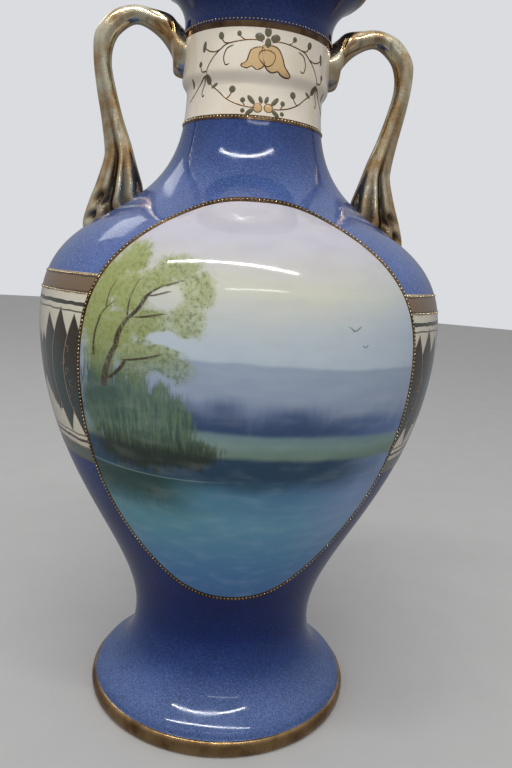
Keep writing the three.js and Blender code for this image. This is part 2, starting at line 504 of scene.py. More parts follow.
def makeGilding(name, bright, deep, wear, ripple, paintedFoldShade=False):
    material, tree, shader = newTree(name)
    colour, roughness, height = useGroup(tree, gildingGroup, bright, deep, wear)
    # painted shade: the gilding darkens to brown where the fold attribute marks grooves, dents and the inner
    # side of the rod, and painted reflection darkens it in upright streaks
    if paintedFoldShade:
        streaks = ease(noise(stretched(tree, 0.12), 300, 3, 0.6), 0.5, 0.68, 0.0, 0.4)
        shade = ease(attribute(tree, "fold"), 0.05, 0.8, 0.0, 0.85)
        colour = mixed(calc("MAXIMUM", shade, streaks), colour, (52, 34, 18))
    setInput(shader.inputs["Base Color"], colour)
    setInput(shader.inputs["Roughness"], roughness)
    shader.inputs["Metallic"].default_value = 1.0
    bumped(shader, height, ripple, 0.0008)
    return material


handleGold = makeGilding("handleGold", (255, 246, 212), (212, 168, 112), 0.9, 0.4, True)
trimGold = makeGilding("trimGold", (190, 156, 108), (130, 98, 64), 0.6, 0.2)
borderGold = makeGilding("borderGold", (142, 114, 82), (84, 62, 46), 0.5, 0.2)
scrollGold = makeGilding("scrollGold", (158, 128, 90), (104, 80, 54), 0.2, 0.1)
curlGold = makeGilding("curlGold", (214, 178, 146), (168, 128, 98), 0.1, 0.1)
beadGold = makeGilding("beadGold", (246, 230, 190), (214, 186, 136), 0.1, 0.1)
vaseGlaze = makeBlueGlaze()
whiteGlaze = makePaleGlaze("whiteGlaze", (240, 238, 232), (226, 223, 214))
creamGlaze = makePaleGlaze("creamGlaze", (246, 236, 217), (234, 221, 197))
petalEnamel = makePaleGlaze("petalEnamel", (226, 194, 142), (198, 154, 106))
budEnamel = makePaleGlaze("budEnamel", (112, 106, 80), (82, 78, 60))
bareClay = makeBareClay()
print("glazes and gilding ready")


# The body: underside and standing ring, blue outside, white hollow
def makeBody():
    bottom = np.array([[rimInside - vaseForm["ringWidth"] + 1, 0], [rimInside - 1, 0]])
    edge = lipEdge()
    hollow = np.vstack([edge[-1:], hollowWall()[::-1]])
    sections = [(underside(), 1), (bottom, 2), (rimBead, 0), (outside, 0), (edge[:-1], 0), (hollow, 1)]
    outline = np.vstack([points for points, _ in sections])
    looks = np.concatenate([[look] * len(points) for points, look in sections])
    faceLooks = np.repeat(looks[:-1], vaseForm["turns"])
    finishes = [vaseGlaze, whiteGlaze, bareClay]
    piece = makePiece("vaseBody", [lathe(outline)], finishes, 40, faceLooks)
    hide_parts("vase")


makeBody()
print("body turned")


# Gilt bands that run all the way round
def outlinePart(curve, low, high):
    return curve[(curve[:, 1] >= low) & (curve[:, 1] <= high)]


def ringSkin(curve, proud):
    # a closed ring that lies over a stretch of the outline
    along = unit(np.gradient(curve, axis=0))
    out = np.stack([along[:, 1], -along[:, 0]], 1)
    loop = np.vstack([curve + out * proud, (curve - out * neckBands["sunk"])[::-1]])
    points, faces = lathe(loop)
    turns = vaseForm["turns"]
    last = (len(loop) - 1) * turns
    faces += [(last + c, last + (c + 1) % turns, (c + 1) % turns, c) for c in range(turns)]
    return points, faces


neckBands = {
    "creamLow": 270.6, "creamHigh": 303.6, "goldHigh": 306.0, "beadLow": 269.8, "beadHigh": 306.7,
    "beadPitch": 1.62, "beadSize": 0.42, "beadProud": 0.22, "proud": 0.12, "goldProud": 0.2,
    "lineProud": 0.06, "lipLine": 1.4, "sunk": 0.4,
}


def bandCurve(low, high, count):
    heights = np.linspace(low, high, count)
    return np.stack([radiusAt(heights), heights], 1)


makePiece("footGilding", [ringSkin(rimBead[1:], neckBands["lineProud"])], [trimGold])
lipCurve = np.vstack([outlinePart(lip, lipHeight - neckBands["lipLine"], lipHeight), lipEdge()])
makePiece("lipGilding", [ringSkin(lipCurve, neckBands["lineProud"])], [trimGold])
creamCurve = bandCurve(neckBands["creamLow"], neckBands["creamHigh"], 70)
makePiece("neckGround", [ringSkin(creamCurve, neckBands["proud"])], [creamGlaze])
goldCurves = [bandCurve(neckBands["creamHigh"], neckBands["goldHigh"], 8),
              bandCurve(neckBands["beadLow"] - 0.9, neckBands["creamLow"] + 0.1, 6)]
goldSkins = [ringSkin(curve, neckBands["goldProud"]) for curve in goldCurves]
makePiece("neckGilding", goldSkins, [borderGold])
print("bands laid")


# Gilt scrolls on the cream neck, alike on both sides of the flower. Places are (degrees, height).
neckScroll = {
    "middle": 2.4, "proud": 0.13, "thickness": 0.4, "line": 0.5, "swell": 0.14, "budSize": 1.18,
    "taper": 7, "tipShare": 0.35, "budSwell": 0.16, "petalSwell": 0.12, "perDegree": 0.55,
    "vines": [
        [(3, 298.2), (8, 298.9), (15, 298.7), (23, 298), (30, 297), (35, 295), (40, 292.5), (44, 289.5),
         (46.2, 286.6)],
        [(31, 296.8), (34.5, 295.3), (39, 294.6), (44, 295.2), (47.5, 296.4)],
        [(27, 297.6), (31, 297.8), (33.6, 299.6)],
        [(15.5, 298.7), (18, 299.4), (20, 300.6)],
        [(46, 287.6), (50, 287.6), (51.5, 289.6)],
        [(24, 296.8), (29, 295.4), (31.2, 292.2), (29.6, 289.4), (26.6, 289.8)],
        [(46.2, 286.6), (44, 282.8), (37.2, 280.2), (29.8, 277.1), (21, 274.9), (12.5, 273.8), (5, 273.7)],
        [(29, 276.9), (26.5, 278), (24.8, 279.8)],
        [(14, 274), (15.5, 275.4)],
        [(47, 286.2), (52.4, 284.8), (58, 282.6), (64, 280), (72, 277.6)],
        [(48, 286), (50.5, 283.5), (53.5, 280.2), (52.5, 278.4), (50.8, 279.2)],
    ],
    # degrees, height, half width, half height and tilt of each bud or leaf
    "buds": [(33.9, 300.4, 1, 1.3, -20), (20.3, 301, 0.8, 0.9, 0), (48.4, 297, 0.8, 1.9, 10),
             (51.8, 290.4, 0.8, 1, 0), (24.6, 280.5, 1.2, 1.2, 0), (40.4, 282.2, 0.6, 1.5, 60),
             (15.8, 276.4, 0.9, 0.9, 0), (15.4, 272.2, 0.8, 0.8, 0), (65, 284.2, 0.7, 1.7, 20),
             (45.6, 284.6, 1.2, 1.6, 0), (5.6, 300, 1.7, 1.3, 15), (9.3, 276.6, 0.8, 1.9, -42),
             (10, 271.9, 0.8, 1.7, 52)],
    "middleBuds": [(0, 302.1, 1.2, 1.6, 0), (0.4, 297.8, 1.1, 1.8, 0), (-2, 276.8, 0.7, 1.3, 20),
                   (2.6, 276.9, 0.7, 1.3, -20)],
    "flowers": [(-4, 273.6, 1.8, 1.7, 0), (4.4, 273.8, 1.8, 1.6, 0)],
    # each petal of the bell: its heart, how proud it lies, and its outline
    "bell": [
        ((-8, 291.6), 0.13, [(-3.4, 296.3), (-10.5, 295.4), (-12.6, 293.3), (-14.1, 290.8), (-18.1, 289.2),
                             (-13.8, 288.2), (-10.3, 289), (-6.6, 287.9), (-2, 289.1), (-1, 293)]),
        ((6, 291.4), 0.15, [(-3.4, 296.6), (2.9, 297.2), (7.9, 296.4), (11.4, 293.6), (13.9, 290),
                            (18.7, 286.8), (14.9, 286.2), (10.8, 286.9), (8.6, 287.8), (4.3, 287.2),
                            (0.5, 288.2), (-1.6, 290.4)]),
        ((0.4, 292.4), 0.19, [(-5.4, 292.1), (-4.5, 294.6), (0.1, 295.4), (5.1, 294.4), (6.2, 292.6),
                              (4.4, 290.3), (0.9, 289.2), (-2.2, 290.1)]),
    ],
}


def smoothLoop(points, count):
    # a closed smooth outline through the given places
    steps = 400
    around = splineThrough(points[-2:] + points + points[:3], steps)
    first, last = 2 / (len(points) + 4), (len(points) + 2) / (len(points) + 4)
    walk = np.linspace(0, 1, steps)
    wanted = np.linspace(first, last, count, endpoint=False)
    return np.stack([np.interp(wanted, walk, around[:, k]) for k in (0, 1)], 1)


def brushLine(path, middle, proud=neckScroll["proud"]):
    # a raised line that tapers to both of its ends
    scale = surfaceScale(path)
    along = unit(np.gradient(path, axis=0) * scale)
    share = np.linspace(0, 1, len(path))
    narrowing = np.minimum(share, 1 - share) * neckScroll["taper"] + neckScroll["tipShare"]
    half = neckScroll["line"] / 2 * np.clip(narrowing, 0, 1)
    side = np.stack([-along[:, 1], along[:, 0]], 1) / scale * half[:, None]
    grid = np.stack([path - side, path, path + side], 1)
    swell = proud + np.array([0, neckScroll["swell"], 0]) + 0 * grid[..., 0]
    places, out = onBody(grid[..., 0] + middle, grid[..., 1], swell)
    return closedSkin(places, out, neckScroll["thickness"], False)


def plate(loop, heart, middle, proud, swell, rings=4):
    # a slightly domed patch of enamel inside a closed outline
    share = np.linspace(0, 1, rings)[:, None, None]
    grid = heart + share * (loop - heart)
    raised = proud + swell * (1 - share[..., 0] ** 2) + 0 * grid[..., 0]
    places, out = onBody(grid[..., 0] + middle, grid[..., 1], raised)
    return closedSkin(places, out, neckScroll["thickness"], True, True)


def budPlate(degrees, height, halfWidth, halfHeight, tilt, middle):
    angle = np.linspace(0, 2 * math.pi, 18, endpoint=False)
    lean = math.radians(tilt)
    x, z = halfWidth * np.cos(angle), halfHeight * np.sin(angle)
    turned = np.stack([x * math.cos(lean) - z * math.sin(lean), x * math.sin(lean) + z * math.cos(lean)], 1)
    heart = np.array([degrees, height])
    loop = heart + neckScroll["budSize"] * turned / surfaceScale(heart[None])
    return plate(loop, heart, middle, neckScroll["proud"], neckScroll["budSwell"])


def makeNeckScroll():
    scroll = neckScroll
    lines, buds, petals = [], [], []
    for middle in (scroll["middle"], scroll["middle"] + 180):
        for side in (-1, 1):
            for vine in scroll["vines"]:
                path = splineThrough(np.array(vine) * [side, 1], 8 * len(vine))
                lines.append(brushLine(path, middle))
            for degrees, height, width, rise, tilt in scroll["buds"]:
                buds.append(budPlate(side * degrees, height, width, rise, side * tilt, middle))
        buds += [budPlate(*bud, middle) for bud in scroll["middleBuds"]]
        petals += [budPlate(*flower, middle) for flower in scroll["flowers"]]
        for heart, proud, outline in scroll["bell"]:
            loop = smoothLoop(outline, 72)
            petals.append(plate(loop, np.array(heart), middle, proud, scroll["petalSwell"], 6))
            lines.append(brushLine(np.vstack([loop, loop[:2]]), middle, proud + 0.02))
        for degrees, height, width, rise, _ in scroll["flowers"]:
            angle = np.linspace(0, 2 * math.pi, 20)
            across = degrees + width / scroll["perDegree"] * np.cos(angle)
            ring = np.stack([across, height + rise * np.sin(angle)], 1)
            lines.append(brushLine(ring, middle))
    makePiece("neckVines", lines, [scrollGold], 60)
    makePiece("neckBuds", buds, [budEnamel], 60)
    makePiece("neckPetals", petals, [petalEnamel], 60)


makeNeckScroll()
print("scrolls drawn")


# The medallions: an upright egg-shaped field on the front and on the back
medallion = {
    "halfWidth": 46.7, "middle": 135, "topRise": 100, "topPower": 2.9, "lowRise": 67, "lowPower": 2.45,
    "proud": 0.12, "thickness": 0.5, "borderWidth": 1.9, "borderProud": 0.2, "borderThickness": 0.6,
    "beadPitch": 1.6, "beadSize": 0.38, "beadProud": 0.28,
    "rings": 36, "sides": 240,
}


def medallionHalf(share):
    # rise and power of the upper half or the lower half
    upper = share >= 0
    rise = np.where(upper, medallion["topRise"], medallion["lowRise"])
    power = np.where(upper, medallion["topPower"], medallion["lowPower"])
    return rise, power


def medallionOutline(count):
    # (degrees from its middle line, height) once round, from the right through the top
    angle = np.linspace(0, 2 * math.pi, count, endpoint=False)
    rise, power = medallionHalf(np.sin(angle))
    across = np.sign(np.cos(angle)) * np.abs(np.cos(angle)) ** (2 / power)
    upward = np.sign(np.sin(angle)) * np.abs(np.sin(angle)) ** (2 / power)
    return np.stack([medallion["halfWidth"] * across, medallion["middle"] + rise * upward], 1)


def evenly(loop, count):
    # the same closed outline with its points spaced evenly over the surface
    closed = np.vstack([loop, loop[:1]])
    steps = np.linalg.norm(np.diff(closed, axis=0) * surfaceScale(closed)[:-1], axis=1)
    length = np.concatenate([[0], np.cumsum(steps)])
    wanted = np.linspace(0, length[-1], count, endpoint=False)
    return np.stack([np.interp(wanted, length, closed[:, k]) for k in (0, 1)], 1)


def offsetLoop(loop, distance):
    # an outline moved outward over the surface by a distance in millimetres
    scale = surfaceScale(loop)
    along = unit((np.roll(loop, -1, 0) - np.roll(loop, 1, 0)) * scale)
    return loop + np.stack([along[:, 1], -along[:, 0]], 1) * distance / scale


medallionLoop = evenly(medallionOutline(4000), medallion["sides"])


def medallionField(centre):
    share = np.linspace(0, 1, medallion["rings"])[:, None, None]
    middle = np.array([0, medallion["middle"] + 12])
    grid = middle + share * (medallionLoop - middle)
    places, out = onBody(grid[..., 0] + centre, grid[..., 1], medallion["proud"])
    return closedSkin(places, out, medallion["thickness"], True, True)


def medallionBorder(centre):
    half = medallion["borderWidth"] / 2
    rings = [offsetLoop(medallionLoop, distance) for distance in (-half, -half / 3, half / 3, half)]
    grid = np.stack(rings)
    places, out = onBody(grid[..., 0] + centre, grid[..., 1], medallion["borderProud"])
    return closedSkin(places, out, medallion["borderThickness"], True)


# Rows of enamel beads, set along a path at an even pitch
def makeBeadTree():
    group = bpy.data.node_groups.new("beadRow", "GeometryNodeTree")
    for label, kind in (("Path", "NodeSocketGeometry"), ("Pitch", "NodeSocketFloat"),
                        ("Radius", "NodeSocketFloat"), ("Finish", "NodeSocketMaterial")):
        group.interface.new_socket(label, in_out="INPUT", socket_type=kind)
    group.interface.new_socket("Beads", in_out="OUTPUT", socket_type="NodeSocketGeometry")
    given = group.nodes.new("NodeGroupInput").outputs
    kinds = ["GeometryNodeMeshToCurve", "GeometryNodeResampleCurve", "GeometryNodeInstanceOnPoints",
             "GeometryNodeRealizeInstances", "GeometryNodeSetShadeSmooth", "GeometryNodeSetMaterial"]
    toCurve, resample, instances, realize, smooth, finish = [group.nodes.new(kind) for kind in kinds]
    ball = group.nodes.new("GeometryNodeMeshUVSphere")
    ball.inputs["Segments"].default_value = 8
    ball.inputs["Rings"].default_value = 5
    resample.mode = "LENGTH"
    links = [(given["Path"], toCurve.inputs["Mesh"]), (toCurve.outputs[0], resample.inputs["Curve"]),
             (given["Pitch"], resample.inputs["Length"]), (resample.outputs[0], instances.inputs["Points"]),
             (given["Radius"], ball.inputs["Radius"]), (ball.outputs["Mesh"], instances.inputs["Instance"]),
             (instances.outputs[0], realize.inputs[0]), (realize.outputs[0], smooth.inputs[0]),
             (smooth.outputs[0], finish.inputs["Geometry"]), (given["Finish"], finish.inputs["Material"]),
             (finish.outputs[0], group.nodes.new("NodeGroupOutput").inputs[0])]
    for source, target in links:
        group.links.new(source, target)
    return group


beadTree = makeBeadTree()


def makeBeads(name, rows, pitch, radius, closed=True):
    # rows of places on the body, in metres, turned into rows of beads
    mesh = bpy.data.meshes.new(name)
    points, edges = [], []
    for places in rows:
        first, count = len(points), len(places)
        points += places.tolist()
        edges += [(first + k, first + (k + 1) % count) for k in range(count if closed else count - 1)]
    mesh.from_pydata(points, edges, [])
    path = bpy.data.objects.new(name + "Path", mesh)
    scene.collection.objects.link(path)
    modifier = path.modifiers.new("beads", "NODES")
    modifier.node_group = beadTree
    inputs = {item.name: item.identifier for item in beadTree.interface.items_tree if item.in_out == "INPUT"}
    modifier[inputs["Pitch"]] = pitch * mm
    modifier[inputs["Radius"]] = radius * mm
    modifier[inputs["Finish"]] = beadGold
    evaluated = path.evaluated_get(bpy.context.evaluated_depsgraph_get())
    beads = bpy.data.meshes.new_from_object(evaluated)
    bpy.data.objects.remove(path)
    piece = bpy.data.objects.new(name, beads)
    scene.collection.objects.link(piece)
    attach(piece, "root")


def neckBeads():
    degrees = np.linspace(0, 360, 240, endpoint=False)
    heights = (neckBands["beadLow"], neckBands["beadHigh"])
    rows = [onBody(degrees, height, neckBands["beadProud"])[0] for height in heights]
    makeBeads("neckBeads", rows, neckBands["beadPitch"], neckBands["beadSize"])


def medallionBeads(name, centre):
    loop, _ = onBody(medallionLoop[:, 0] + centre, medallionLoop[:, 1], medallion["beadProud"])
    makeBeads(name, [loop], medallion["beadPitch"], medallion["beadSize"])


# Clumps and strokes that the painting is made of
def makeClumpGroup():
    # an oval: 1 in its middle, 0 on its edge
    names = ("Across", "Height", "Middle", "Level", "Half Width", "Half Height")
    group, (across, height, middle, level, halfWidth, halfHeight), result = newGroup(
        "softClump", names, ("Inside",))
    side = (across - middle) / halfWidth
    rise = (height - level) / halfHeight
    setInput(result["Inside"], 1.0 - calc("SQRT", side * side + rise * rise))
    return group


def makeStrokeGroup():
    # a brush stroke that climbs from one place to another, bending to the side and thinning to its tip
    names = ("Across", "Height", "Start", "Low", "End", "High", "Bend", "Thickness", "Tip")
    group, (across, height, start, low, end, high, bend, thickness, tip), result = newGroup(
        "climbingStroke", names, ("Inside",))
    run, rise = end - start, high - low
    share = (height - low) / rise
    line = start + run * share + share * (1.0 - share) * 4.0 * bend
    slope = run / rise
    away = calc("ABSOLUTE", across - line) / calc("SQRT", slope * slope + 1.0)
    thick = thickness + (tip - thickness) * share
    within = ease(share, -0.03, 0.02) * ease(share, 1.03, 0.98)
    setInput(result["Inside"], ease(thick - away, -0.35, 0.3) * within)
    return group


clumpGroup = makeClumpGroup()
strokeGroup = makeStrokeGroup()

# Broad areas of the lake view: heights in millimetres, places across in degrees from the middle line
lakeView = {
    "sky": [(172, (188, 201, 213)), (180, (194, 206, 215)), (188, (198, 207, 210)), (195, (206, 209, 202)),
            (202, (213, 213, 195)), (210, (206, 203, 198)), (218, (202, 199, 206)), (230, (205, 201, 209)),
            (240, (200, 198, 205))],
    "skyRight": (184, 198, 212), "hillTop": 176.2, "hillDrop": 0.012,
    "hill": [(150, (126, 140, 166)), (160, (146, 160, 184)), (168, (152, 166, 188)), (177, (156, 170, 188))],
    "woodTop": 155,
    "wood": [(146, (44, 66, 102)), (152, (50, 73, 110)), (160, (72, 94, 132)), (168, (112, 130, 164))],
    "woodRight": (104, 132, 182),
    "woodLumps": [(-7, 158, 9, 14), (9, 156, 12, 11), (30, 152, 16, 8), (-15, 155, 7, 12)],
    "meadowTop": 150.2, "meadowLow": 140.4, "meadowFall": 0.02,
    "meadow": [(138, (90, 112, 104)), (142, (110, 134, 122)), (146, (123, 149, 143)), (151, (110, 138, 150))],
    "shoreLow": 127.5, "shore": (35, 64, 88),
    "water": [(66, (60, 102, 152)), (80, (66, 114, 162)), (94, (78, 130, 168)), (110, (97, 148, 174)),
              (122, (82, 128, 160)), (132, (58, 96, 126)), (140, (60, 92, 120))],
    "waterTeal": (86, 144, 150), "waterLilac": (128, 152, 194), "glint": (146, 172, 176),
    "leafPale": (178, 185, 124), "leafLight": (152, 160, 72), "leafMid": (124, 142, 82),
    "leafDark": (80, 102, 62), "leafBlue": (64, 92, 82), "bark": (70, 54, 42), "bank": (34, 44, 28),
    "deepGreen": (42, 78, 58), "bird": (70, 72, 78), "washPale": (232, 234, 228), "washDark": (60, 72, 92),
    "thicketGreen": (106, 130, 96), "mirror": (38, 66, 56), "waterLine": 129.6, "waterLineBow": 0.0011,
    "coat": 0.3, "coatRoughness": 0.03,
    # middle across, height, half width and half height of each clump
    "clumps": [(-32, 210, 5, 7), (-36, 202, 6, 9), (-40, 190, 6.5, 14), (-31, 198, 6, 9),
               (-19.5, 207.5, 6.5, 5), (-14.5, 200, 4.5, 8), (-16, 190, 4.5, 7.5), (-24, 203, 5, 5),
               (-25, 187, 6, 7), (-33, 184, 6, 10), (-21.5, 176, 5.5, 6), (-17.5, 172, 4, 5.5),
               (-28, 174, 6, 9), (-38, 176, 6, 12)],
    "gaps": [(-21, 197.6, 3, 3.2), (-21.6, 183.4, 3.2, 2), (-22.4, 167.4, 3, 1.8), (-16.5, 181.5, 3.5, 1.8)],
    "thicket": [(-38, 158, 8, 20), (-30, 157, 8, 16), (-21.5, 156, 7, 12), (-29, 142, 15, 12),
                (-15.5, 141, 9, 7.5), (-18, 150, 5.5, 11)],
    # start across, low, end across, high, bend, thickness and tip of each stroke
    "branches": [(-37.2, 163, -33.2, 179, -0.8, 1.5, 1.1), (-33.2, 179, -30.2, 189, -0.7, 1.1, 0.85),
                 (-30.2, 189, -26.6, 195.7, 0.5, 0.85, 0.6), (-26.6, 195.7, -22.5, 201, -0.7, 0.6, 0.35),
                 (-22.5, 201, -17.6, 203.6, 0.2, 0.35, 0.15), (-28.2, 189.4, -21.4, 191.7, 0.5, 0.5, 0.15),
                 (-25.6, 197.2, -20.6, 199.5, 0.4, 0.4, 0.15), (-35.4, 166.4, -30.7, 173.8, 0.6, 0.75, 0.6),
                 (-30.7, 173.8, -21.4, 177.6, 1.2, 0.6, 0.15), (-40.1, 174, -38.6, 187, -0.6, 0.6, 0.4),
                 (-38.6, 187, -34.2, 194.4, -0.9, 0.4, 0.15), (-36.6, 192, -35, 202, -0.5, 0.3, 0.12),
                 (-30.4, 190, -28.6, 203, -0.6, 0.4, 0.12)],
    "birds": [(22.6, 189.3, 24.4, 191.3, 0.25, 0.3, 0.1), (22.6, 189.3, 21.1, 191.1, 0.25, 0.3, 0.1),
              (26, 183.5, 26.8, 184.6, 0.1, 0.25, 0.1), (26, 183.5, 25.3, 184.4, 0.1, 0.25, 0.1)],
}


def makeLakePainting():
    view = lakeView
    material, tree, shader = newTree("lakePainting")
    across, height = attribute(tree, "across"), attribute(tree, "height")
    place = joined(across, height)
    slow = noise(place, 0.05) - 0.5
    quick = noise(place, 0.4, 4, 0.6) - 0.5

    def squeezed(x, z):
        return joined(across * x, height * z)

    def shifted(amount, fine):
        return height + slow * amount + quick * fine

    def clumpsInside(name):
        return largest([useGroup(tree, clumpGroup, across, height, x * degree, z, width * degree, rise)[0]
                        for x, z, width, rise in view[name]])

    def strokesInside(name):
        return largest([useGroup(tree, strokeGroup, across, height, x * degree, z, endX * degree, endZ,
                                 bend * degree, thick, tip)[0]
                        for x, z, endX, endZ, bend, thick, tip in view[name]])

    # sky, warm above the middle and bluer to the right
    skyHeight = shifted(12, 0.5)
    right = ease(across, 20, 75) * ease(skyHeight, 222, 188, 0.0, 0.75)
    colour = mixed(right, heightRamp(skyHeight, view["sky"]), view["skyRight"])
    # far hills in mist
    hillEdge = across * -view["hillDrop"] + view["hillTop"]
    hills = ease(hillEdge - shifted(3, 0.5), -0.9, 1.0, 0.0, 0.9)
    colour = mixed(hills, colour, heightRamp(shifted(5, 0.5), view["hill"]))
    # a dark wood, its tops fading upward in soft strokes
    strokes = noise(squeezed(0.22, 0.06), 1.0, 3, 0.55) - 0.5
    lumps = calc("MAXIMUM", clumpsInside("woodLumps"), 0.0)
    wood = ease(lumps * 11.0 + view["woodTop"] + strokes * 7.0 - height, -9, 8, 0.0, 0.96)
    woodTone = heightRamp(shifted(6, 1.5), view["wood"])
    woodTone = mixed(ease(across, 20, 75, 0.0, 0.65), woodTone, view["woodRight"])
    colour = mixed(wood, colour, woodTone)
    # meadow on the far shore
    meadowHeight = shifted(1.5, 0.5) + across * view["meadowFall"]
    meadow = ease(view["meadowTop"] - meadowHeight, -1.2, 1.4)
    colour = mixed(meadow, colour, heightRamp(meadowHeight, view["meadow"]))
    # lake, with the dark shore mirrored under the meadow
    streaks = noise(squeezed(0.015, 0.16), 1.0) - 0.5
    waterHeight = shifted(6, 0.4) + streaks * 5.0
    water = heightRamp(waterHeight, view["water"])
    teal = ease(across, 20, -50) * ease(height, 84, 112, 0.0, 0.65)
    water = mixed(teal, water, view["waterTeal"])
    lilac = ease(across, 20, 60) * ease(height, 84, 118, 0.0, 0.75)
    water = mixed(lilac, water, view["waterLilac"])
    shore = ease(waterHeight, view["shoreLow"] - 4, view["shoreLow"] + 6) * ease(across, 78, 30, 0.0, 0.95)
    water = mixed(shore, water, view["shore"])
    colour = mixed(ease(view["meadowLow"] - meadowHeight, -1.2, 1.2), colour, water)

    # thicket and bank on the near left shore, in hanging strokes
    hanging = noise(squeezed(0.7, 0.1), 1.0, 4, 0.65)
    dabs = noise(place, 0.55, 5, 0.7)
    ragged = hanging - 0.5
    green = mixed(ease(hanging, 0.36, 0.66), view["leafBlue"], view["thicketGreen"])
    green = mixed(ease(dabs, 0.45, 0.62, 0.0, 0.5), green, view["leafDark"])
    deep = ease(across, -46, -56) * ease(height, 148, 162, 0.0, 0.8)
    green = mixed(deep, green, view["deepGreen"])
    green = mixed(ease(height + ragged * 14.0, 152, 139, 0.0, 0.95), green, view["bank"])
    thicket = ease(clumpsInside("thicket") + ragged * 1.5, -0.05, 0.3, 0.0, 0.9)
    colour = mixed(thicket, colour, green)
    # the bank mirrored in the water, and the pale line between them
    mirror = ease(across, -14, -42) * ease(height + ragged * 6.0, 108, 124, 0.0, 0.92)
    colour = mixed(mirror * ease(height, 131, 129.5), colour, view["mirror"])
    fromBend = across + 20.0 * degree
    waterLine = fromBend * fromBend * view["waterLineBow"] + view["waterLine"]
    line = ease(calc("ABSOLUTE", height - waterLine), 0.45, 0.1, 0.0, 0.4) * ease(across, 0, -30)
    colour = mixed(line, colour, view["glint"])

    # crown of the tree: a thin wash, then branches, then small dabs of leaves
    speckled = noise(place, 0.32, 6, 0.75) - 0.5
    crown = clumpsInside("clumps") - ease(clumpsInside("gaps"), -0.6, 0.6) * 0.9
    wash = ease(crown + speckled * 1.5, -0.26, 0.4, 0.0, 0.78)
    wash = wash * ease(across, -20, -46, 0.8, 1.1) * ease(height, 160, 180, 0.2, 1.0)
    tone = mixed(ease(noise(place, 0.09, 3), 0.4, 0.6), view["leafLight"], view["leafPale"])
    tone = mixed(ease(across, -26, -50, 0.0, 0.85), tone, view["leafLight"])
    tone = mixed(ease(height, 186, 168, 0.0, 0.7), tone, view["leafMid"])
    colour = mixed(wash, colour, tone)
    branches = strokesInside("branches")
    colour = mixed(branches * ease(dabs, 0.64, 0.5, 0.45, 1.0), colour, view["bark"])
    leaves = ease(crown + speckled * 2.1, -0.04, 0.34) * ease(dabs, 0.44, 0.62, 0.0, 0.62)
    leafTone = mixed(ease(noise(place, 0.16, 4, 0.7), 0.4, 0.6), view["leafMid"], view["leafDark"])
    leafTone = mixed(ease(across, -40, -56, 0.0, 0.6), leafTone, view["leafLight"])
    leafTone = mixed(ease(height, 184, 166, 0.0, 0.7), leafTone, view["leafBlue"])
    colour = mixed(leaves * ease(branches, 0.2, 0.7, 1.0, 0.35), colour, leafTone)
    colour = mixed(strokesInside("birds") * 0.8, colour, view["bird"])
    # faint brushwork over everything
    brushed = noise(squeezed(0.06, 0.2), 1.0)
    colour = mixed(ease(brushed, 0.45, 0.75, 0.0, 0.06), colour, view["washPale"])
    colour = mixed(ease(brushed, 0.55, 0.25, 0.0, 0.05), colour, view["washDark"])
    setInput(shader.inputs["Base Color"], colour)
    glazed(tree, shader, view["coat"], view["coatRoughness"])
    return material


lakePainting = makeLakePainting()
for name, centre in (("medallionFront", 0), ("medallionBack", 180)):
    field = makePiece(name, [medallionField(centre)], [lakePainting])
    addPlaces(field, centre)
borders = [medallionBorder(centre) for centre in (0, 180)]
makePiece("medallionBorders", borders, [borderGold])
medallionBeads("medallionBeadsFront", 0)
medallionBeads("medallionBeadsBack", 180)
neckBeads()
print("medallions painted")


# Side panels: a striped frieze of pointed leaves between the two medallions, under each handle
sidePanel = {
    "low": 127.5, "high": 203.4, "proud": 0.12, "rows": 60, "columns": 60,
    # painted stripes, each colour from its height upward
    "stripes": [(126.0, (84, 74, 52)), (127.9, (88, 100, 92)), (133.4, (150, 132, 98)),
                (134.1, (214, 206, 184)), (135.9, (70, 66, 54)), (137.0, (220, 212, 190)),
                (138.6, (84, 80, 66)), (139.2, (222, 215, 194)), (188.4, (104, 98, 82)),
                (189.0, (222, 215, 194)), (190.6, (62, 64, 58)), (192.4, (222, 215, 194)),
                (195.4, (150, 126, 92)), (195.9, (70, 56, 42)), (196.5, (122, 98, 70)),
                (201.6, (70, 56, 42)), (202.2, (164, 140, 104)), (202.8, (196, 180, 150)),
                (204.0, (196, 180, 150))],
    "fans": (-42.5, 0, 42.5),
    # tip and root of each leaf, as across and height, and its half width
    "leaves": [(31, 178, 27, 152, 6.5), (21.4, 187, 19, 146, 8.5), (10.3, 190, 11, 139, 9),
               (0, 188, 0, 139, 9)],
    "lobes": [(27, 168, 6), (26, 160, 5.6), (21, 153, 5.2)],
    # across, height and first angle of each curl
    "curls": [(5.5, 173.5, 20), (9.2, 168.7, 150), (6, 165, -60), (6.8, 155.3, 40), (4.2, 160.5, 200),
              (5.2, 149, 100)],
    "curlSize": 1.7,
    "brown": (58, 47, 33), "teal": (50, 68, 66), "edge": (166, 152, 122),
    "mottle": (36, 34, 30), "lobeShade": (34, 38, 38), "leafShade": (30, 28, 24),
    "coat": 0.5, "coatRoughness": 0.04, "beadRows": (202.6, 195.8), "beadProud": 0.2,
    "curlSweep": 250, "curlEnd": 0.45, "curlSteps": 22,
}


